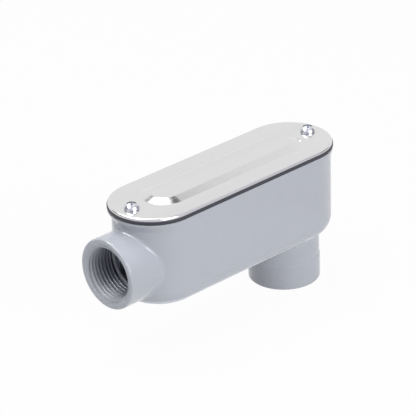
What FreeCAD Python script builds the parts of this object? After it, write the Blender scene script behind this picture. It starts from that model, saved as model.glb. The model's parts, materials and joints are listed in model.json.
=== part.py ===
import FreeCAD, Part
import math
import os

# Conduit body of the kind with its outlet at the back, three quarter inch trade size.
# One aluminium casting, a rubber gasket, a stamped cover and two cover screws.
# Millimetres. The origin is the centre of the back hub's mouth, +Z runs from there
# along the hub's axis towards the cover, and the inlet hub's mouth looks along -X.

Vector = FreeCAD.Vector
UP = Vector(0, 0, 1)

# Housing shell
body_length = 121.8
body_width = 40.6
wall = 2.8
bottom_round = 9.0

# Rim that carries the gasket
near_flare = 2.25
far_flare = 1.25
side_flare = 0.15
rim_land = 0.8
flare_height = 3.4

# Threaded hubs, alike inside; only the back one has a slightly thicker collar
bore_radius = 13.4
hub_wall = 3.1
collar_step = 0.3
collar_length = 11.5
collar_taper = 1.5
mouth_chamfer = 1.0
mouth_chamfer_depth = 0.7
mouth_round = 1.1
thread_length = 15.2
throat_radius = 12.2
lip_round = 0.9
sleeve_wall = 2.4

# Where the hubs stand on the shell
inlet_hub_reach = 11.1
inlet_hub_above_bottom = 3.0
inlet_hub_below_rim = 6.8
inlet_blend = 2.0
back_hub_reach = 22.1
back_hub_inside_far_end = 6.2
back_blend = 1.2
back_throat_radius = 13.0
back_throat_slope = 1.2

# Gasket and cover
gasket_thick = 1.7
gasket_overhang = 0.15
gasket_band = 4.2
cover_inset = 0.2
cover_sheet = 1.3
cover_edge_round = 1.0
panel_height = 1.7
panel_slope = 5.7
panel_foot_bend = 1.6
panel_crown_bend = 4.0
panel_side_margin = 8.85
panel_end_margin = 8.1

# Cover screws and their bosses
screw_inset = 7.45
shank_radius = 1.75
shank_fit = 0.05
screw_clearance = 0.2
screw_reach = 9.4
hole_below_tip = 1.4
drill_point = 1.1
head_radius = 3.5
head_height = 3.1
head_side = 0.7
head_edge_round = 0.3
recess_length = 4.3
recess_width = 1.05
recess_depth = 2.0
tip_chamfer = 0.5
boss_radius = 4.2
boss_depth = 9.5

# Sizes that follow from the ones above
hub_radius = bore_radius + hub_wall
collar_radius = hub_radius + collar_step
body_bottom_z = back_hub_reach
inlet_axis_z = body_bottom_z + inlet_hub_above_bottom + hub_radius
rim_top_z = inlet_axis_z + hub_radius + inlet_hub_below_rim
far_end_x = collar_radius + back_hub_inside_far_end
near_end_x = far_end_x - body_length
body_centre_x = (far_end_x + near_end_x) / 2
rim_length = body_length + near_flare + far_flare
rim_width = body_width + 2 * side_flare
rim_centre_x = body_centre_x + (far_flare - near_flare) / 2
inlet_mouth_x = near_end_x - inlet_hub_reach
lip_width = 2 * lip_round
hub_inner_depth = thread_length + lip_width
gasket_top_z = rim_top_z + gasket_thick
cover_top_z = gasket_top_z + cover_sheet
cover_length = rim_length - 2 * cover_inset
cover_width = rim_width - 2 * cover_inset
screw_spacing = cover_length - 2 * screw_inset
screw_xs = (rim_centre_x - screw_spacing / 2, rim_centre_x + screw_spacing / 2)
screw_hole_depth = screw_reach - gasket_thick - cover_sheet + hole_below_tip


def at(x, z):
    """A point of a profile in the middle plane of the fitting."""
    return Vector(x, 0, z)


def line(a, b):
    return Part.LineSegment(a, b).toShape()


def arc(a, middle, b):
    return Part.Arc(a, middle, b).toShape()


def obround_wire(length, width, centre_x, z):
    """Closed outline with two straight sides and two half round ends."""
    radius = width / 2
    half = length / 2 - radius
    near_x = centre_x - half
    far_x = centre_x + half
    near_low = Vector(near_x, -radius, z)
    far_low = Vector(far_x, -radius, z)
    far_high = Vector(far_x, radius, z)
    near_high = Vector(near_x, radius, z)
    return Part.Wire([
        line(near_low, far_low),
        arc(far_low, Vector(far_x + radius, 0, z), far_high),
        line(far_high, near_high),
        arc(near_high, Vector(near_x - radius, 0, z), near_low),
    ])


def obround_prism(length, width, centre_x, low_z, high_z):
    face = Part.Face(obround_wire(length, width, centre_x, low_z))
    return face.extrude(Vector(0, 0, high_z - low_z))


def round_edges_at(shape, z, radius):
    """Round every edge that lies in the level plane at the given height."""
    edges = []
    for edge in shape.Edges:
        box = edge.BoundBox
        if abs(box.ZMin - z) < 1e-4 and abs(box.ZMax - z) < 1e-4:
            edges.append(edge)
    return shape.makeFillet(radius, edges)


def turned(points_and_arcs, start):
    """Solid turned about the Z axis from a profile of lines and arcs in the XZ plane."""
    edges = []
    here = start
    for step in points_and_arcs:
        if len(step) == 2:
            edges.append(arc(here, step[0], step[1]))
            here = step[1]
        else:
            edges.append(line(here, step[0]))
            here = step[0]
    edges.append(line(here, start))
    face = Part.Face(Part.Wire(edges))
    return face.revolve(Vector(0, 0, 0), UP, 360)


def quarter(centre_x, centre_z, radius, degrees):
    """Point on a rounding, measured from +X towards +Z."""
    turn = math.radians(degrees)
    return at(centre_x + radius * math.cos(turn), centre_z + radius * math.sin(turn))


def as_inlet_hub(shape):
    """Lay a hub, turned mouth down at the origin, over to look along -X at the inlet."""
    shape.rotate(Vector(0, 0, 0), Vector(0, 1, 0), 90)
    shape.translate(Vector(inlet_mouth_x, 0, inlet_axis_z))
    return shape


def rounded_mouth(radius):
    """First steps of a hub's outside: flat mouth, then its rounded outer edge."""
    round_x = radius - mouth_round
    return [
        (at(round_x, 0),),
        (quarter(round_x, mouth_round, mouth_round, -45), at(radius, mouth_round)),
    ]


def plain_hub(length):
    """Outside of the inlet hub."""
    steps = rounded_mouth(hub_radius)
    steps += [
        (at(hub_radius, length),),
        (at(0, length),),
    ]
    return turned(steps, at(0, 0))


def collared_hub(length):
    """Outside of the back hub: a slightly thicker collar by the mouth, then the neck."""
    steps = rounded_mouth(collar_radius)
    steps += [
        (at(collar_radius, collar_length),),
        (at(hub_radius, collar_length + collar_taper),),
        (at(hub_radius, length),),
        (at(0, length),),
    ]
    return turned(steps, at(0, 0))


def bore_to_throat():
    """Steps of a hub's inside: chamfered mouth, ground of the thread, rounded throat."""
    lip_z = thread_length + lip_round
    lip_x = throat_radius + lip_round
    return [
        (at(bore_radius + mouth_chamfer, 0),),
        (at(bore_radius, mouth_chamfer_depth),),
        (at(bore_radius, thread_length),),
        (at(lip_x, thread_length),),
        (quarter(lip_x, lip_z, lip_round, 225), at(throat_radius, lip_z)),
        (quarter(lip_x, lip_z, lip_round, 135), at(lip_x, hub_inner_depth)),
    ]


def inlet_bore():
    """Space inside the inlet hub, whose throat stands free in the chamber."""
    steps = bore_to_throat()
    steps += [
        (at(throat_radius + lip_round, hub_inner_depth + 1),),
        (at(0, hub_inner_depth + 1),),
    ]
    return as_inlet_hub(turned(steps, at(0, 0)))


def back_bore(length):
    """Space inside the back hub, widening again behind the throat to the chamber."""
    steps = bore_to_throat()
    steps += [
        (at(back_throat_radius, hub_inner_depth + back_throat_slope),),
        (at(back_throat_radius, length),),
        (at(0, length),),
    ]
    return turned(steps, at(0, 0))


def shell_outside():
    """Deep obround box with a large rounding along its bottom edge."""
    flare_low_z = rim_top_z - rim_land - flare_height
    block = obround_prism(body_length, body_width, body_centre_x, body_bottom_z, flare_low_z)
    return round_edges_at(block, body_bottom_z, bottom_round)


def rim():
    """Seat of the gasket: the casting flares out below it, most at the two ends."""
    land_z = rim_top_z - rim_land
    low = obround_wire(body_length, body_width, body_centre_x, land_z - flare_height)
    high = obround_wire(rim_length, rim_width, rim_centre_x, land_z)
    flare = Part.makeLoft([low, high], True, True)
    land = obround_prism(rim_length, rim_width, rim_centre_x, land_z, rim_top_z)
    return flare.fuse(land)


def on_hub_neck(edge, mouth, axis, least_depth):
    """True for an edge that runs round a hub's outside, deeper than the given depth."""
    for point in edge.discretize(9):
        offset = point.sub(mouth)
        depth = offset.dot(axis)
        away = offset.sub(Vector(axis).multiply(depth)).Length
        if abs(away - hub_radius) > 0.02 or depth < least_depth:
            return False
    along_hub = abs(edge.tangentAt(edge.FirstParameter).dot(axis)) > 0.999
    return not along_hub


def blend_hub_joint(body, mouth, axis, least_depth, radius):
    """Round the inside corner where one hub runs into the shell."""
    edges = [edge for edge in body.Edges if on_hub_neck(edge, mouth, axis, least_depth)]
    return body.makeFillet(radius, edges)


def chamber():
    """Wire space inside the shell, open at the top, with a rounded floor edge."""
    length = body_length - 2 * wall
    width = body_width - 2 * wall
    floor_z = body_bottom_z + wall
    space = obround_prism(length, width, body_centre_x, floor_z, rim_top_z + 1)
    return round_edges_at(space, floor_z, bottom_round - wall)


def screw_boss(screw_x, end_x):
    """Boss for one cover screw, carried by the end wall and sloped underneath."""
    outward = math.copysign(1, end_x - screw_x)
    back_x = end_x - outward * wall / 2
    reach = abs(back_x - screw_x) + boss_radius
    drop = boss_depth + reach
    low_z = rim_top_z - drop
    first = Vector(screw_x, -boss_radius, low_z)
    second = Vector(screw_x, boss_radius, low_z)
    outline = Part.Wire([
        arc(first, Vector(screw_x - outward * boss_radius, 0, low_z), second),
        line(second, Vector(back_x, boss_radius, low_z)),
        line(Vector(back_x, boss_radius, low_z), Vector(back_x, -boss_radius, low_z)),
        line(Vector(back_x, -boss_radius, low_z), first),
    ])
    post = Part.Face(outline).extrude(Vector(0, 0, drop))
    tip_x = screw_x - outward * boss_radius
    corner = Vector(tip_x, -body_width, rim_top_z - boss_depth)
    triangle = Part.Face(Part.makePolygon([
        corner,
        Vector(tip_x, -body_width, low_z - 1),
        Vector(back_x + outward, -body_width, low_z - 1),
        corner,
    ]))
    return post.cut(triangle.extrude(Vector(0, 2 * body_width, 0)))


def screw_hole(screw_x):
    """Blind hole that takes one screw's thread."""
    radius = shank_radius + shank_fit
    low = Vector(screw_x, 0, rim_top_z - screw_hole_depth)
    hole = Part.makeCylinder(radius, screw_hole_depth + 1, low, UP)
    point = Part.makeCone(0, radius, drill_point, low - Vector(0, 0, drill_point), UP)
    return hole.fuse(point)


def inlet_sleeve():
    """Inner end of the inlet hub, standing into the wire space round its throat."""
    radius = bore_radius + sleeve_wall
    length = inlet_hub_reach + wall / 2
    sleeve = Part.makeCylinder(radius, hub_inner_depth - length, Vector(0, 0, length), UP)
    return as_inlet_hub(round_edges_at(sleeve, hub_inner_depth, mouth_chamfer))


def make_cast_body():
    body = shell_outside().fuse(rim()).removeSplitter()
    body = body.fuse(as_inlet_hub(plain_hub(inlet_hub_reach + body_width / 2)))
    body = body.fuse(collared_hub(body_bottom_z + bottom_round))
    body = body.removeSplitter()
    inlet_mouth = Vector(inlet_mouth_x, 0, inlet_axis_z)
    body = blend_hub_joint(body, inlet_mouth, Vector(1, 0, 0), inlet_hub_reach / 2, inlet_blend)
    body = blend_hub_joint(body, Vector(0, 0, 0), UP, collar_length + 2 * collar_taper, back_blend)
    body = body.cut(chamber())
    body = body.fuse(inlet_sleeve())
    body = body.fuse(screw_boss(screw_xs[0], near_end_x))
    body = body.fuse(screw_boss(screw_xs[1], far_end_x))
    body = body.cut(inlet_bore())
    body = body.cut(back_bore(body_bottom_z + bottom_round))
    for screw_x in screw_xs:
        body = body.cut(screw_hole(screw_x))
    return body.removeSplitter()


def make_gasket():
    """Flat rubber ring whose ends widen into lands round the two screws."""
    length = rim_length + 2 * gasket_overhang
    width = rim_width + 2 * gasket_overhang
    ring = obround_prism(length, width, rim_centre_x, rim_top_z, gasket_top_z)
    window_length = screw_spacing - 3 * gasket_band
    window_width = width - 2 * gasket_band
    ring = ring.cut(obround_prism(window_length, window_width, rim_centre_x,
                                  rim_top_z - 1, gasket_top_z + 1))
    radius = shank_radius + screw_clearance
    for screw_x in screw_xs:
        low = Vector(screw_x, 0, rim_top_z - 1)
        ring = ring.cut(Part.makeCylinder(radius, gasket_thick + 2, low, UP))
    return ring


def panel_block(base_z, low_z):
    """Raised middle of the cover: a slope bent at its foot and crown, round a flat top."""
    width = cover_width - 2 * panel_side_margin
    length = screw_spacing - 2 * panel_end_margin
    radius = width / 2
    half = length / 2 - radius
    both_bends = panel_foot_bend + panel_crown_bend
    spare = both_bends - panel_height
    lean = math.asin(both_bends / math.hypot(panel_slope, spare)) - math.atan2(spare, panel_slope)
    top_z = base_z + panel_height

    def foot_arc(angle):
        rise = panel_foot_bend * (1 - math.cos(angle))
        return Vector(0, radius - panel_foot_bend * math.sin(angle), base_z + rise)

    def crown_arc(angle):
        drop = panel_crown_bend * (1 - math.cos(angle))
        return Vector(0, radius - panel_slope + panel_crown_bend * math.sin(angle), top_z - drop)

    edges = [
        line(Vector(0, 0, low_z), Vector(0, radius, low_z)),
        line(Vector(0, radius, low_z), foot_arc(0)),
        arc(foot_arc(0), foot_arc(lean / 2), foot_arc(lean)),
        line(foot_arc(lean), crown_arc(lean)),
        arc(crown_arc(lean), crown_arc(lean / 2), crown_arc(0)),
        line(crown_arc(0), Vector(0, 0, top_z)),
        line(Vector(0, 0, top_z), Vector(0, 0, low_z)),
    ]
    section = Part.Face(Part.Wire(edges))
    near_end = section.revolve(Vector(0, 0, 0), UP, 180)
    far_end = near_end.mirror(Vector(0, 0, 0), Vector(1, 0, 0))
    near_end.translate(Vector(rim_centre_x - half, 0, 0))
    far_end.translate(Vector(rim_centre_x + half, 0, 0))
    side = section.extrude(Vector(2 * half, 0, 0))
    side.translate(Vector(rim_centre_x - half, 0, 0))
    other_side = side.mirror(Vector(0, 0, 0), Vector(0, 1, 0))
    return near_end.multiFuse([far_end, side, other_side]).removeSplitter()


def make_cover():
    """Stamped sheet: rounded outer edge, raised panel, two screw holes."""
    plate = obround_prism(cover_length, cover_width, rim_centre_x, gasket_top_z, cover_top_z)
    plate = round_edges_at(plate, cover_top_z, cover_edge_round)
    cover = plate.fuse(panel_block(cover_top_z, gasket_top_z + cover_sheet / 2))
    cover = cover.cut(panel_block(gasket_top_z, gasket_top_z - 1))
    radius = shank_radius + screw_clearance
    for screw_x in screw_xs:
        low = Vector(screw_x, 0, gasket_top_z - 1)
        cover = cover.cut(Part.makeCylinder(radius, cover_sheet + 2, low, UP))
    return cover.removeSplitter()


def screw():
    """Round head screw with a cross recess, seated at height zero, pointing down."""
    crown_rise = head_height - head_side
    crown_radius = (head_radius ** 2 + crown_rise ** 2) / (2 * crown_rise)
    half_way = math.degrees(math.acos(head_radius / crown_radius) + math.pi / 2) / 2
    crown_middle = quarter(0, head_height - crown_radius, crown_radius, half_way)
    steps = [
        (at(shank_radius - tip_chamfer, -screw_reach),),
        (at(shank_radius, tip_chamfer - screw_reach),),
        (at(shank_radius, 0),),
        (at(head_radius - head_edge_round, 0),),
        (quarter(head_radius - head_edge_round, head_edge_round, head_edge_round, -45),
         at(head_radius, head_edge_round)),
        (at(head_radius, head_side),),
        (crown_middle, at(0, head_height)),
    ]
    blank = turned(steps, at(0, -screw_reach))
    low_z = head_height - recess_depth
    slot = Part.makeBox(recess_length, recess_width, recess_depth + 1,
                        Vector(-recess_length / 2, -recess_width / 2, low_z))
    for degrees in (45, 135):
        arm = slot.copy()
        arm.rotate(Vector(0, 0, 0), UP, degrees)
        blank = blank.cut(arm)
    return blank


def make_cover_screws():
    screws = []
    for screw_x in screw_xs:
        piece = screw()
        piece.translate(Vector(screw_x, 0, cover_top_z))
        screws.append(piece)
    return Part.makeCompound(screws)


os.makedirs("parts", exist_ok=True)
pieces = {
    "cast_body": make_cast_body,
    "gasket": make_gasket,
    "cover": make_cover,
    "cover_screws": make_cover_screws,
}
for name, make in pieces.items():
    shape = make()
    shape.exportStep("parts/" + name + ".step")
    print(name, "solids", len(shape.Solids), "valid", shape.isValid(), "volume", round(shape.Volume, 1))
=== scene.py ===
# %% [markdown]
# # A conduit body, lit and finished
# The housing, cover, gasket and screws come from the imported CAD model, which is the frame here.
# This lesson adds what CAD leaves out: the cut threads, the squeezed rubber, and the finishes.

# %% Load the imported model
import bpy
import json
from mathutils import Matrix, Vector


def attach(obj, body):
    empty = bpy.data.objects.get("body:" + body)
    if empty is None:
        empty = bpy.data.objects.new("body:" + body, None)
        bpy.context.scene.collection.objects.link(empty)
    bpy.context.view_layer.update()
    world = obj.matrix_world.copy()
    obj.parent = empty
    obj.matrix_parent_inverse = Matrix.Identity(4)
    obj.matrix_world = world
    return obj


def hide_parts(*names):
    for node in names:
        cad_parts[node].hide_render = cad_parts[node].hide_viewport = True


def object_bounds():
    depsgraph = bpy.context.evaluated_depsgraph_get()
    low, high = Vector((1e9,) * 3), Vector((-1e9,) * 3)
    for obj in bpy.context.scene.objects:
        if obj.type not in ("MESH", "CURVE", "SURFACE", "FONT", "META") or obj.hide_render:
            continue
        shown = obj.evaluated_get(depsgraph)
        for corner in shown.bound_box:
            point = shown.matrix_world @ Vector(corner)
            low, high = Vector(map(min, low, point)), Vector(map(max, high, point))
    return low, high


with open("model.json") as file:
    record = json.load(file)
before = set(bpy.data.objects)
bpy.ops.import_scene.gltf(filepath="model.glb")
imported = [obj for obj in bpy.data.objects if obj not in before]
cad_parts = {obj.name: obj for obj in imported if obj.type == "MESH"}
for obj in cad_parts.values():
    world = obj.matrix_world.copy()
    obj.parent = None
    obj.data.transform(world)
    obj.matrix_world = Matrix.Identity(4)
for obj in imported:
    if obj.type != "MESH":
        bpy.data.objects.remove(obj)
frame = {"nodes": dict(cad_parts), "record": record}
cad_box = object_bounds()
print("pieces from CAD:", sorted(frame["nodes"]))
print("CAD box in mm:", [[round(value * 1000, 2) for value in corner] for corner in cad_box])

# %% [markdown]
# Blender measures in metres, and a fitting is drawn in millimetres, so lengths are written as a
# number times mm. Places round the fitting are given as on a map: degrees round it, with 0 in
# front and 90 on its right, and degrees up from the floor.

# %% Tools, units and directions
import json
import math

import bmesh
import bpy
from mathutils import Matrix, Vector

mm = 0.001


def direction(round_degrees, up_degrees):
    """Arrow one metre long from the fitting, so many degrees round it and so many up."""
    angle, rise = math.radians(round_degrees), math.radians(up_degrees)
    return Vector((math.sin(angle) * math.cos(rise),
                   -math.cos(angle) * math.cos(rise),
                   math.sin(rise)))


print("the left is", tuple(round(value, 3) for value in direction(-90, 0)))

# %% [markdown]
# ## Camera
# A long lens far away keeps the housing's straight sides almost parallel, as in a catalogue picture.
# The camera is placed by the way it looks at the fitting: how far round, how high, how far off,
# and a small tilt of the picture, because the photograph isn't quite level.

# %% Place the camera
camera_round, camera_up = -43.348, 26.192
camera_tilt = math.radians(-1.665)
camera_distance = 1159.6 * mm
aim = Vector((-47.84, 0, 51.63)) * mm
focal_length, film_width = 223.83, 36

away = direction(camera_round, camera_up)
sideways = math.radians(camera_round)
level = Vector((math.cos(sideways), math.sin(sideways), 0))
turn = Matrix((level, away.cross(level), away)).transposed() @ Matrix.Rotation(camera_tilt, 3, "Z")
camera = bpy.data.objects.new("camera", bpy.data.cameras.new("camera"))
camera.data.lens = focal_length
camera.data.sensor_width = film_width
camera.matrix_world = Matrix.Translation(aim + away * camera_distance) @ turn.to_4x4()
bpy.context.scene.collection.objects.link(camera)
bpy.context.scene.camera = camera
bpy.context.scene.view_settings.view_transform = "Standard"
print("camera at", [round(value, 3) for value in camera.location])

# %% [markdown]
# ## Light
# The photograph was lit softly: a wide softbox overhead and a smaller one in front. The overhead
# one makes the white spot on the cover's raised middle, and the front one lights the long side and
# leaves a short streak where the inlet hub meets the housing. A small one high at the back lifts
# the top of that hub. A lamp's strength is given as brightness, where 1 is as bright as white
# paper, so a bigger lamp isn't a brighter one.

# %% Soft lamps
middle = (cad_box[0] + cad_box[1]) / 2


def soft_lamp(name, round_degrees, up_degrees, distance, width, brightness, shape="SQUARE"):
    """Square or round softbox that looks at the middle of the fitting."""
    towards = direction(round_degrees, up_degrees)
    lamp = bpy.data.lights.new(name, "AREA")
    lamp.shape = shape
    lamp.size = width
    area = width ** 2 if shape == "SQUARE" else math.pi * width ** 2 / 4
    lamp.energy = brightness * math.pi * area
    holder = bpy.data.objects.new(name, lamp)
    facing = towards.to_track_quat("Z", "Y").to_matrix().to_4x4()
    holder.matrix_world = Matrix.Translation(middle + towards * distance) @ facing
    bpy.context.scene.collection.objects.link(holder)
    print(name, "brightness", brightness)


soft_lamp("overhead_softbox", -120, 70, distance=1.2, width=1.68, brightness=2.2, shape="DISK")
soft_lamp("front_softbox", 0, 28, distance=2.0, width=1.0, brightness=8.0)
soft_lamp("small_back_softbox", 155, 67, distance=1.1, width=0.30, brightness=4.0)

# %% [markdown]
# Polished metal only looks like metal where it mirrors something darker beside the light. So flags
# of cloth hang round the fitting, as in a photo studio: a grey one on its left, a grey one
# on its right, and two narrow black ones behind it, between the backdrop and the overhead softbox.
# Each is an upright edge swung round the fitting, and only shows in reflections.

# %% Dark flags
just_above_floor = 1 * mm
cloth_folds = 16


def even_cloth(name, tone, strength=1.0):
    """Material that looks the same from everywhere, like cloth lit evenly from all round."""
    cloth = bpy.data.materials.new(name)
    cloth.use_nodes = True
    cloth.node_tree.nodes.clear()
    glow = cloth.node_tree.nodes.new("ShaderNodeEmission")
    glow.inputs["Color"].default_value = (*tone, 1)
    glow.inputs["Strength"].default_value = strength
    leave = cloth.node_tree.nodes.new("ShaderNodeOutputMaterial")
    cloth.node_tree.links.new(glow.outputs[0], leave.inputs["Surface"])
    return cloth


def hang_cloth(name, cloth_material, round_from, round_to, up_from, up_to, distance=1.0, foot=None):
    """Curved cloth between two directions round the fitting and two heights, all in degrees.
    With a foot, it also runs in along the floor to that distance from the fitting."""
    start = math.radians(round_from)
    cloth = bmesh.new()
    profile = [(distance * math.cos(math.radians(up)), distance * math.sin(math.radians(up)))
               for up in (up_to, up_from)]
    if foot:
        profile[1] = (distance, just_above_floor - middle.z)
        profile.append((foot, just_above_floor - middle.z))
    line = [cloth.verts.new(middle + Vector((out * math.sin(start), -out * math.cos(start), rise)))
            for out, rise in profile]
    for upper, lower in zip(line, line[1:]):
        cloth.edges.new((upper, lower))
    bmesh.ops.spin(cloth, geom=cloth.verts[:] + cloth.edges[:], cent=middle, axis=(0, 0, 1),
                   angle=math.radians(round_to - round_from), steps=cloth_folds, use_merge=False)
    mesh = bpy.data.meshes.new(name)
    cloth.to_mesh(mesh)
    cloth.free()
    mesh.materials.append(cloth_material)
    flag = bpy.data.objects.new(name, mesh)
    flag.visible_camera = flag.visible_diffuse = flag.visible_shadow = False
    bpy.context.scene.collection.objects.link(flag)
    return flag


black_cloth = even_cloth("black_cloth", (0.01, 0.01, 0.01))
grey_cloth = even_cloth("grey_cloth", (0.34, 0.34, 0.36))
hang_cloth("left_flag", grey_cloth, round_from=-160, round_to=-112, up_from=3, up_to=34)
hang_cloth("right_flag", grey_cloth, round_from=46, round_to=80, up_from=3, up_to=30)
hang_cloth("back_left_flag", black_cloth, round_from=158, round_to=171, up_from=44, up_to=49.5)
hang_cloth("back_right_flag", black_cloth, round_from=99, round_to=121, up_from=53.5, up_to=65)
print("four flags, 1 m away")

# %% [markdown]
# The cover's rounded edge mirrors the front of the room, where the camera stands.
# There the photograph shows a calm lilac grey, not white, so a wide curtain of that colour hangs in
# front, further off than the lamps, and runs on along the floor towards the fitting. A header
# of the same cloth hangs nearer, above the lens, and keeps the edge's white line thin.

# %% Lilac curtain in front
lilac_cloth = even_cloth("lilac_cloth", (0.78, 0.76, 0.84))
hang_cloth("front_curtain", lilac_cloth, round_from=-112, round_to=64, up_from=0, up_to=52,
           distance=2.6, foot=0.12)
hang_cloth("front_header", lilac_cloth, round_from=-92, round_to=-12, up_from=48, up_to=78)
print("curtain and header hung")

# %% [markdown]
# The photograph shows a second short streak on the inlet hub, further back, and glints on the
# thread's crests. Both mirror a long narrow lamp high on the left. It is hung as a bright strip
# that only shows in reflections, because the overhead softbox already lights that side. Its cloth
# is see-through as well, because further down a light link keeps it off the polished cover.

# %% Bright strip on the left
strip_brightness = 12.0

bright_strip = even_cloth("bright_strip", (1, 1, 1), strength=strip_brightness)
nodes, links = bright_strip.node_tree.nodes, bright_strip.node_tree.links
shine_and_clear = nodes.new("ShaderNodeAddShader")
links.new(nodes["Emission"].outputs[0], shine_and_clear.inputs[0])
links.new(nodes.new("ShaderNodeBsdfTransparent").outputs[0], shine_and_clear.inputs[1])
links.new(shine_and_clear.outputs[0], nodes["Material Output"].inputs["Surface"])
left_strip = hang_cloth("left_strip", bright_strip, round_from=-150, round_to=-58, up_from=42, up_to=56)
print("strip", strip_brightness, "times as bright as white paper, 1 m away")

# %% [markdown]
# Seen from straight above, the flat cover would mirror the overhead softbox and lose its shape in
# white. A round scrim of thin white cloth hangs under the middle of that lamp, so gloss meets
# plain white there instead of the bright lamp.

# %% Scrim overhead
scrim_cloth = even_cloth("scrim_cloth", (1, 1, 1))
hang_cloth("overhead_scrim", scrim_cloth, round_from=-180, round_to=180, up_from=77, up_to=90)
print("scrim hung")

# %% [markdown]
# The room is plain white for the camera and for gloss, so that metal mirrors the white that
# the camera sees. As bright as that for soft light too, it would wash out every shadow, so for
# the even light that fills them the same room is dimmer.

# %% White room
room_fill = 0.05


def math_node(tree, operation, *values):
    """Result of a sum on numbers and sockets, made in a node tree."""
    node = tree.nodes.new("ShaderNodeMath")
    node.operation = operation
    for socket, value in zip(node.inputs, values):
        if isinstance(value, float):
            socket.default_value = value
        else:
            tree.links.new(value, socket)
    return node.outputs[0]


def fade(tree, value, start, end, low=0.0, high=1.0):
    """Runs from low to high while a value goes from start to end, and stays there outside."""
    spread = tree.nodes.new("ShaderNodeMapRange")
    for socket, number in zip(("From Min", "From Max", "To Min", "To Max"), (start, end, low, high)):
        spread.inputs[socket].default_value = number
    tree.links.new(value, spread.inputs["Value"])
    return spread.outputs[0]


def seen_or_mirrored(tree):
    """Socket that is 1 for the camera, in mirrors and through glass, and 0 for soft light."""
    rays = tree.nodes.new("ShaderNodeLightPath").outputs
    seen = math_node(tree, "MAXIMUM", rays["Is Camera Ray"], rays["Is Glossy Ray"])
    return math_node(tree, "MAXIMUM", seen, rays["Is Transmission Ray"])


room = bpy.data.worlds.new("white_room")
room.use_nodes = True
bpy.context.scene.world = room
nodes, links = room.node_tree.nodes, room.node_tree.links
nodes.clear()
strength = fade(room.node_tree, seen_or_mirrored(room.node_tree), 0, 1, low=room_fill, high=1)
backdrop = nodes.new("ShaderNodeBackground")
backdrop.inputs["Color"].default_value = (1, 1, 1, 1)
links.new(strength, backdrop.inputs["Strength"])
links.new(backdrop.outputs[0], nodes.new("ShaderNodeOutputWorld").inputs["Surface"])
print("room", room_fill, "as bright for soft light as for the camera")

# %% [markdown]
# The floor is one flat sheet at the height of the back hub's mouth, on which the fitting stands.
# A floor that is only lit would look grey beside the white room. So to the camera it is mostly
# plain white with a little of its real shade mixed in, which keeps a soft shadow. Like paper on
# a light table it glows slightly, which lifts the shade under the housing.

# %% White floor
floor_reach = 4.0
shadow_share = 0.04
paper_glow = 0.25
paper_grey = (0.7, 0.7, 0.7)

ground = bmesh.new()
bmesh.ops.create_grid(ground, x_segments=1, y_segments=1, size=floor_reach)
floor_mesh = bpy.data.meshes.new("floor")
ground.to_mesh(floor_mesh)
ground.free()
floor = bpy.data.objects.new("floor", floor_mesh)
bpy.context.scene.collection.objects.link(floor)

paper = bpy.data.materials.new("white_paper")
paper.use_nodes = True
nodes, links = paper.node_tree.nodes, paper.node_tree.links
nodes.clear()
shade = nodes.new("ShaderNodeBsdfDiffuse")
shade.inputs["Color"].default_value = (*paper_grey, 1)
glow = nodes.new("ShaderNodeEmission")
glow.inputs["Color"].default_value = (1, 1, 1, 1)
glow_share = fade(paper.node_tree, seen_or_mirrored(paper.node_tree), 0, 1,
                  low=paper_glow, high=1 - shadow_share)
both = nodes.new("ShaderNodeMixShader")
links.new(glow_share, both.inputs[0])
links.new(shade.outputs[0], both.inputs[1])
links.new(glow.outputs[0], both.inputs[2])
links.new(both.outputs[0], nodes.new("ShaderNodeOutputMaterial").inputs["Surface"])
floor_mesh.materials.append(paper)
print("floor", floor_reach * 2, "m wide")

# %% [markdown]
# ## Surface unevenness, one group for every finish
# No real surface is even: paint has slight clouds and a fine orange-peel skin, sheet metal has
# rolling lines, rubber has grain. All of them are noise at two sizes, so one node group makes
# both and each material gives it its own grain sizes. It puts out only values that change over the
# surface, which the materials feed to colour, roughness and bump.

# %% Node group for unevenness
def make_unevenness():
    """Group with two noises, wide clouds and fine grain, at the place it is given."""
    group = bpy.data.node_groups.new("surface_unevenness", "ShaderNodeTree")
    group.interface.new_socket("Place", in_out="INPUT", socket_type="NodeSocketVector")
    group.interface.new_socket("Cloud Scale", in_out="INPUT", socket_type="NodeSocketFloat")
    group.interface.new_socket("Grain Scale", in_out="INPUT", socket_type="NodeSocketFloat")
    group.interface.new_socket("Clouds", in_out="OUTPUT", socket_type="NodeSocketFloat")
    group.interface.new_socket("Grain", in_out="OUTPUT", socket_type="NodeSocketFloat")
    enter = group.nodes.new("NodeGroupInput")
    leave = group.nodes.new("NodeGroupOutput")
    for scale, detail, result in (("Cloud Scale", 3.0, "Clouds"), ("Grain Scale", 2.0, "Grain")):
        noise = group.nodes.new("ShaderNodeTexNoise")
        noise.inputs["Detail"].default_value = detail
        group.links.new(enter.outputs["Place"], noise.inputs["Vector"])
        group.links.new(enter.outputs[scale], noise.inputs["Scale"])
        group.links.new(noise.outputs["Fac"], leave.inputs[result])
    return group


unevenness = make_unevenness()
print("group", unevenness.name, "nodes", len(unevenness.nodes))

# %% [markdown]
# Every finish here starts alike: the surface shader, and the noises placed on the object's own
# coordinates, so the pattern stays with the piece. Most of a noise lies near its middle, so
# the part between two levels is spread over the whole range of a tone or a roughness.

# %% Start a material and use its noises
noise_low, noise_high = 0.3, 0.7


def per_mm(size):
    """Noise scale whose lumps are about so many millimetres wide."""
    return 1 / (size * mm)


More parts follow.
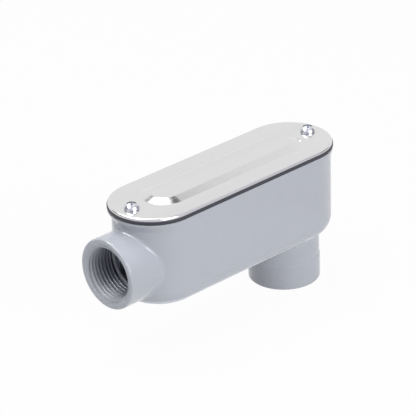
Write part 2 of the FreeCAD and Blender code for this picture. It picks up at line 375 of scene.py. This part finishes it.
def start_material(name, cloud_size, grain_size, stretch=(1, 1, 1)):
    """New material: the surface shader, and clouds and grain on the object's own coordinates."""
    material = bpy.data.materials.new(name)
    material.use_nodes = True
    nodes, links = material.node_tree.nodes, material.node_tree.links
    surface = nodes["Principled BSDF"]
    place = nodes.new("ShaderNodeTexCoord")
    turned = nodes.new("ShaderNodeMapping")
    turned.inputs["Scale"].default_value = stretch
    links.new(place.outputs["Object"], turned.inputs["Vector"])
    uneven = nodes.new("ShaderNodeGroup")
    uneven.node_tree = unevenness
    uneven.inputs["Cloud Scale"].default_value = per_mm(cloud_size)
    uneven.inputs["Grain Scale"].default_value = per_mm(grain_size)
    links.new(turned.outputs[0], uneven.inputs["Place"])
    return material, surface, uneven


def blend_colours(material, surface, mask, dark, light):
    """Base colour that runs from one tone to another along a mask."""
    nodes, links = material.node_tree.nodes, material.node_tree.links
    ramp = nodes.new("ShaderNodeValToRGB")
    ramp.color_ramp.elements[0].position = noise_low
    ramp.color_ramp.elements[0].color = (*dark, 1)
    ramp.color_ramp.elements[1].position = noise_high
    ramp.color_ramp.elements[1].color = (*light, 1)
    links.new(mask, ramp.inputs[0])
    links.new(ramp.outputs[0], surface.inputs["Base Color"])


def vary_roughness(material, surface, mask, low, high):
    """Roughness that follows a mask between two values."""
    roughness = fade(material.node_tree, mask, noise_low, noise_high, low, high)
    material.node_tree.links.new(roughness, surface.inputs["Roughness"])


def raise_grain(material, surface, mask, height):
    """Bump as high as the given number of millimetres."""
    nodes, links = material.node_tree.nodes, material.node_tree.links
    bump = nodes.new("ShaderNodeBump")
    bump.inputs["Distance"].default_value = height * mm
    links.new(mask, bump.inputs["Height"])
    links.new(bump.outputs[0], surface.inputs["Normal"])


# %% [markdown]
# ## Painted casting
# The housing is die cast and sprayed with light blue-grey enamel, which dries smooth and half
# glossy. The spray doesn't get into the chamber and throats, where the raw casting is paler and
# duller. The inside could be marked face by face, but the casting is CAD's and only gets a material
# here. So the material has a mask that finds the inside from the part's own measurements.

# %% Mask of the unpainted inside
cast_middle_x, cast_half_straight, cast_inside = -37.9 * mm, 40.6 * mm, 18.6 * mm
cast_floor_z, inlet_axis_z, throat_edge = 23.5 * mm, 41.6 * mm, 13.0 * mm
throat_middle_x, throat_half_length = -86.0 * mm, 10.0 * mm
back_throat_z = 14.0 * mm


def make_inside_mask():
    """Group that puts out 1 inside the chamber and the throats, and 0 elsewhere."""
    group = bpy.data.node_groups.new("unpainted_inside", "ShaderNodeTree")
    group.interface.new_socket("Place", in_out="INPUT", socket_type="NodeSocketVector")
    group.interface.new_socket("Bare", in_out="OUTPUT", socket_type="NodeSocketFloat")
    enter, leave = group.nodes.new("NodeGroupInput"), group.nodes.new("NodeGroupOutput")
    apart = group.nodes.new("ShaderNodeSeparateXYZ")
    group.links.new(enter.outputs["Place"], apart.inputs[0])
    x, y, z = apart.outputs

    def work_out(operation, *values):
        return math_node(group, operation, *values)

    def distance(first, second):
        squares = (work_out("MULTIPLY", first, first), work_out("MULTIPLY", second, second))
        return work_out("SQRT", work_out("ADD", *squares))

    def off(value, centre):
        return work_out("SUBTRACT", value, centre)

    along = work_out("ABSOLUTE", off(x, cast_middle_x))
    past_straight = work_out("MAXIMUM", off(along, cast_half_straight), 0.0)
    in_chamber = work_out("MULTIPLY", work_out("LESS_THAN", distance(past_straight, y), cast_inside),
                          work_out("GREATER_THAN", z, cast_floor_z))
    from_throat = work_out("ABSOLUTE", off(x, throat_middle_x))
    from_axis = distance(y, off(z, inlet_axis_z))
    in_inlet = work_out("MULTIPLY", work_out("LESS_THAN", from_axis, throat_edge),
                        work_out("LESS_THAN", from_throat, throat_half_length))
    in_back = work_out("MULTIPLY", work_out("LESS_THAN", distance(x, y), throat_edge),
                       work_out("GREATER_THAN", z, back_throat_z))
    in_throats = work_out("MAXIMUM", in_inlet, in_back)
    group.links.new(work_out("MAXIMUM", in_chamber, in_throats), leave.inputs["Bare"])
    return group


inside_mask = make_inside_mask()
print("mask nodes", len(inside_mask.nodes))

# %% [markdown]
# Light enamel differs by only a few hundredths from place to place, in wide clouds, and has a fine
# orange-peel bump. Where the mask finds the inside, a second colour and a duller roughness lie
# over the paint's.

# %% Paint for the casting
paint_dark = (0.450, 0.470, 0.525)
paint_light = (0.462, 0.482, 0.538)
bare_casting = (0.68, 0.71, 0.78)
bare_roughness = 0.6


def lay_over(material, socket, mask, covering):
    """Put a second colour or value over what feeds a socket, where the mask is 1."""
    nodes, links = material.node_tree.nodes, material.node_tree.links
    mix = nodes.new("ShaderNodeMix")
    mix.data_type = "RGBA" if socket.type == "RGBA" else "FLOAT"
    ends = [enter for enter in mix.inputs if enter.type == socket.type and enter.name in "AB"]
    if socket.is_linked:
        links.new(socket.links[0].from_socket, ends[0])
    else:
        ends[0].default_value = socket.default_value
    ends[1].default_value = (*covering, 1) if socket.type == "RGBA" else covering
    links.new(mask, mix.inputs[0])
    links.new([leave for leave in mix.outputs if leave.type == socket.type][0], socket)


painted_casting, surface, uneven = start_material("painted_casting", cloud_size=9, grain_size=0.7)
blend_colours(painted_casting, surface, uneven.outputs["Clouds"], paint_dark, paint_light)
vary_roughness(painted_casting, surface, uneven.outputs["Grain"], low=0.11, high=0.17)
raise_grain(painted_casting, surface, uneven.outputs["Grain"], height=0.006)
nodes, links = painted_casting.node_tree.nodes, painted_casting.node_tree.links
inside = nodes.new("ShaderNodeGroup")
inside.node_tree = inside_mask
links.new(nodes["Texture Coordinate"].outputs["Object"], inside.inputs["Place"])
lay_over(painted_casting, surface.inputs["Base Color"], inside.outputs["Bare"], bare_casting)
lay_over(painted_casting, surface.inputs["Roughness"], inside.outputs["Bare"], bare_roughness)
casting = frame["nodes"]["cast_body"]
casting.material_slots[0].material = painted_casting
print("paint tones", paint_dark, paint_light, "on", casting.name)

# %% [markdown]
# ## Threads in the two hubs
# Each hub is tapped for three quarter inch conduit, 14 turns to the inch, and painted after that.
# The spray only reaches the first turns, and their grooves are darkened: painted shade. Further in
# the metal is bare and coloured dark, which is painted shade, and its crests are lighter, partly
# worn metal and partly a painted glint. The finish reads two numbers that each vertex carries, its
# depth in the bore and its place between crest and groove, because a pattern on plain coordinates
# couldn't follow the turns.

# %% Thread finish
# Deep in the bore the bare metal is coloured dark: painted shade where little light reaches.
bare_thread_shade = (0.13, 0.145, 0.185)
# Grooves darker than the paint: painted shade where the threads shade their own roots.
groove_shade = (0.37, 0.375, 0.39)
# Crests deep in the bore are lighter: worn metal, and partly a painted glint.
crest_wear_and_glint = (0.45, 0.47, 0.52)
paint_from_mm, paint_to_mm = 4.0, 10.0
groove_shade_from, groove_shade_cover = 0.45, 0.6
crest_share, crest_shine = 0.2, 0.2
dull_specular = 0.3


def vertex_number(material, name):
    """Socket with a number that each vertex of the piece carries."""
    reader = material.node_tree.nodes.new("ShaderNodeAttribute")
    reader.attribute_name = name
    return reader.outputs["Fac"]


threaded_bore, surface, uneven = start_material("threaded_bore", cloud_size=3, grain_size=0.5)
blend_colours(threaded_bore, surface, uneven.outputs["Clouds"], paint_dark, paint_light)
vary_roughness(threaded_bore, surface, uneven.outputs["Grain"], low=0.30, high=0.42)
raise_grain(threaded_bore, surface, uneven.outputs["Grain"], height=0.01)
surface.inputs["Specular IOR Level"].default_value = dull_specular
tree = threaded_bore.node_tree
groove = vertex_number(threaded_bore, "thread_groove")
unpainted_and_shaded = fade(tree, vertex_number(threaded_bore, "bore_depth"), paint_from_mm, paint_to_mm)
groove_shaded = fade(tree, groove, groove_shade_from, 1, high=groove_shade_cover)
crest_wear_and_glint_mask = math_node(tree, "MULTIPLY", fade(tree, groove, crest_share, 0), unpainted_and_shaded)
# Painted shade in the grooves.
lay_over(threaded_bore, surface.inputs["Base Color"], groove_shaded, groove_shade)
# Bare metal deep in the bore, coloured dark as painted shade.
lay_over(threaded_bore, surface.inputs["Base Color"], unpainted_and_shaded, bare_thread_shade)
# Lighter crests: worn metal, and partly a painted glint.
lay_over(threaded_bore, surface.inputs["Base Color"], crest_wear_and_glint_mask, crest_wear_and_glint)
lay_over(threaded_bore, surface.inputs["Metallic"], crest_wear_and_glint_mask, crest_shine)
print("paint ends", paint_from_mm, "to", paint_to_mm, "mm inside the thread")

# %% [markdown]
# In CAD a thread is a plain bore at its outer radius. The turns could be a bump in the paint, but
# the open hub shows their edges, so they are real. A tap cuts a V with a rounded crest, one
# pitch wide, and these are its measures. The ridge stays just inside the bore's wall and its end.

# %% Measures of the thread
pitch = 25.4 / 14 * mm
thread_depth = 1.1 * mm
crest_round = 0.22 * mm
crest_shoulder = 0.6 * crest_round
steps_in_turn = 90
inside_wall, short_of_end = 0.02 * mm, 0.1 * mm
mouth_lead, run_out = 2.5, 0.7
same_turn = 0.005 * mm
print("pitch", round(pitch / mm, 3), "mm, depth", round(thread_depth / mm, 2), "mm")

# %% [markdown]
# Every new piece is finished alike. Its normals are worked out once it is whole, so all its faces
# point outwards, it is shaded smooth but for its real edges, and it rides on the fitting.

# %% Finish a piece
def finish_piece(name, shape, material, sharp_degrees):
    """Turn a finished bmesh into a piece that rides on the fitting."""
    bmesh.ops.recalc_face_normals(shape, faces=shape.faces[:])
    mesh = bpy.data.meshes.new(name)
    shape.to_mesh(mesh)
    shape.free()
    for face in mesh.polygons:
        face.use_smooth = True
    mesh.set_sharp_from_angle(angle=math.radians(sharp_degrees))
    mesh.materials.append(material)
    piece = bpy.data.objects.new(name, mesh)
    bpy.context.scene.collection.objects.link(piece)
    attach(piece, "root")
    print(name, "faces", len(mesh.polygons))
    return piece


# %% [markdown]
# The profile goes round the bore's axis and moves along it, as a tap does. Each turn's end meets
# the next one's start, so merging them makes one continuous ridge. The sweep starts before the
# mouth and ends past the bore, and both ends are cut off square. At the mouth the tap's lead leaves
# the crests lower, and at the inner end the turns run out into the wall.

# %% Cut the threads
def pull_outwards(vertex, radius):
    """Move a vertex straight away from the bore's axis, X, to the given radius."""
    here = math.hypot(vertex.co.y, vertex.co.z)
    if here < radius:
        vertex.co.y *= radius / here
        vertex.co.z *= radius / here


def cut_thread(name, mount, first_turn_at):
    """Thread piece in the bore that a mount describes, its first turn starting at an angle."""
    root = mount["dims"]["r_mm"] * mm - inside_wall
    length = mount["dims"]["length_mm"] * mm - short_of_end
    crest = root - thread_depth
    turns = math.ceil(length / pitch) + 2
    sweep = bmesh.new()
    profile = ((0, root), (pitch / 2 - crest_round, crest + crest_shoulder), (pitch / 2, crest),
               (pitch / 2 + crest_round, crest + crest_shoulder), (pitch, root))
    corners = [sweep.verts.new((x - 2 * pitch, 0, radius)) for x, radius in profile]
    for first, second in zip(corners, corners[1:]):
        sweep.edges.new((first, second))
    bmesh.ops.rotate(sweep, cent=(0, 0, 0), verts=sweep.verts[:],
                     matrix=Matrix.Rotation(math.radians(first_turn_at), 3, "X"))
    bmesh.ops.spin(sweep, geom=sweep.verts[:] + sweep.edges[:], cent=(0, 0, 0), axis=(1, 0, 0),
                   dvec=(pitch / steps_in_turn, 0, 0), angle=2 * math.pi * turns,
                   steps=steps_in_turn * turns, use_merge=False)
    bmesh.ops.remove_doubles(sweep, verts=sweep.verts[:], dist=same_turn)
    for cut_x, outward in ((0, -1), (length, 1)):
        bmesh.ops.bisect_plane(sweep, geom=sweep.verts[:] + sweep.edges[:] + sweep.faces[:],
                               plane_co=(cut_x, 0, 0), plane_no=(outward, 0, 0), clear_outer=True)
    depth_mm = sweep.verts.layers.float.new("bore_depth")
    groove = sweep.verts.layers.float.new("thread_groove")
    for vertex in sweep.verts:
        vertex[groove] = (math.hypot(vertex.co.y, vertex.co.z) - crest) / thread_depth
        pull_outwards(vertex, root - mouth_lead * vertex.co.x)
        pull_outwards(vertex, root - run_out * (length - vertex.co.x))
        vertex[depth_mm] = vertex.co.x / mm
    inwards = -Vector(mount["axis"])
    aligned = inwards.to_track_quat("X", "Z").to_matrix().to_4x4()
    place = Matrix.Translation(Vector(mount["pos_m"])) @ aligned
    bmesh.ops.transform(sweep, matrix=place, verts=sweep.verts[:])
    return finish_piece(name, sweep, threaded_bore, sharp_degrees=50)


mounts = {mount["name"]: mount for mount in frame["record"]["mounts"]}
threads = [cut_thread("inlet_thread", mounts["inlet_hub"], first_turn_at=80),
           cut_thread("back_thread", mounts["back_hub"], first_turn_at=0)]

# %% [markdown]
# Painted metal mirrors only a few hundredths of what it faces, so it takes a very bright strip to
# leave a streak on it, and in bare metal the same strip would be a glaring white band. A light link
# names the objects that a lamp lights: here the casting and its threads.

# %% Keep the strip to the casting
strip_receivers = bpy.data.collections.new("lit_by_the_strip")
for receiver in (casting, *threads):
    strip_receivers.objects.link(receiver)
left_strip.light_linking.receiver_collection = strip_receivers

# %% [markdown]
# ## Cover
# The cover is stamped from aluminium sheet and left bare. Its shape is CAD's. Rolling leaves lines
# that run along the sheet, so its noise is stretched along X, and the sheet is so smooth that it
# mirrors the room softly. Its colour is almost even, because what the eye sees in it is the room.

# %% Cover finish
sheet_dark, sheet_light = (0.68, 0.68, 0.68), (0.71, 0.71, 0.71)
rolled_lengthways = (0.08, 1, 1)

cover_sheet, surface, uneven = start_material("cover_sheet", cloud_size=14, grain_size=0.4,
                                              stretch=rolled_lengthways)
blend_colours(cover_sheet, surface, uneven.outputs["Clouds"], sheet_dark, sheet_light)
vary_roughness(cover_sheet, surface, uneven.outputs["Grain"], low=0.14, high=0.21)
raise_grain(cover_sheet, surface, uneven.outputs["Grain"], height=0.0015)
surface.inputs["Metallic"].default_value = 1
frame["nodes"]["cover"].material_slots[0].material = cover_sheet
print("cover finish on", frame["nodes"]["cover"].name)

# %% [markdown]
# ## Rubber
# Sheet rubber is almost black with a faint blue, and matt, because its surface is full of fine
# grain. So its colour follows the grain, its roughness wide clouds, and the grain has a bump.

# %% Rubber finish
rubber_dark, rubber_light = (0.030, 0.032, 0.042), (0.042, 0.045, 0.057)

gasket_rubber, surface, uneven = start_material("gasket_rubber", cloud_size=6, grain_size=0.25)
blend_colours(gasket_rubber, surface, uneven.outputs["Grain"], rubber_dark, rubber_light)
vary_roughness(gasket_rubber, surface, uneven.outputs["Clouds"], low=0.42, high=0.55)
raise_grain(gasket_rubber, surface, uneven.outputs["Grain"], height=0.02)
print("rubber tones", rubber_dark, rubber_light)

# %% [markdown]
# ## Gasket
# The gasket is cut from sheet rubber, and the screws squeeze it, so its outside has rounded edges.
# It could be drawn anew, but a copy of the CAD ring keeps the land round each screw. The copy is
# merged, its coplanar triangles are joined into whole faces, and its outer edges above and
# below are rounded.

# %% Gasket with a rounded edge
squeeze_round, round_steps = 0.3 * mm, 4
same_corner, same_height, at_outline = 0.002 * mm, 0.01 * mm, 0.05 * mm
same_face = math.radians(0.5)

ring = bmesh.new()
ring.from_mesh(frame["nodes"]["gasket"].data)
ring.transform(frame["nodes"]["gasket"].matrix_world)
bmesh.ops.remove_doubles(ring, verts=ring.verts[:], dist=same_corner)
bmesh.ops.dissolve_limit(ring, angle_limit=same_face, verts=ring.verts[:], edges=ring.edges[:])
along, across, levels = ([vertex.co[axis] for vertex in ring.verts] for axis in range(3))
gasket_middle_x = (min(along) + max(along)) / 2
gasket_half_width = max(across)
gasket_half_straight = max(along) - gasket_middle_x - gasket_half_width


def from_middle_line(point):
    """Distance from the ring's long middle line, so the outline is one number all round."""
    return math.hypot(max(abs(point.x - gasket_middle_x) - gasket_half_straight, 0), point.y)


def on_outline(edge):
    """True for an edge that runs level round the outside of the ring."""
    first, second = (vertex.co for vertex in edge.verts)
    return (abs(first.z - second.z) < same_height
            and min(from_middle_line(first), from_middle_line(second)) > gasket_half_width - at_outline)


outer_edges = [edge for edge in ring.edges if on_outline(edge)]
bmesh.ops.bevel(ring, geom=outer_edges, offset=squeeze_round, segments=round_steps, profile=0.5,
                affect="EDGES", material=-1)
gasket = finish_piece("squeezed_gasket", ring, gasket_rubber, sharp_degrees=40)
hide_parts("gasket")
gasket_thickness = round((max(levels) - min(levels)) / mm, 2)
print("gasket", gasket_thickness, "mm thick,", len(outer_edges), "edges rounded")

# %% [markdown]
# ## Screws
# The two screws are zinc plated steel, which is bright and slightly blue, and uneven in tone
# from the plating bath. Their shape is CAD's, so only the finish is added.

# %% Steel finish
plated_dark, plated_light = (0.60, 0.62, 0.66), (0.74, 0.75, 0.79)

screw_steel, surface, uneven = start_material("screw_steel", cloud_size=2.5, grain_size=0.3)
blend_colours(screw_steel, surface, uneven.outputs["Clouds"], plated_dark, plated_light)
vary_roughness(screw_steel, surface, uneven.outputs["Grain"], low=0.14, high=0.24)
raise_grain(screw_steel, surface, uneven.outputs["Grain"], height=0.004)
surface.inputs["Metallic"].default_value = 1
frame["nodes"]["cover_screws"].material_slots[0].material = screw_steel
print("steel finish on", frame["nodes"]["cover_screws"].name)
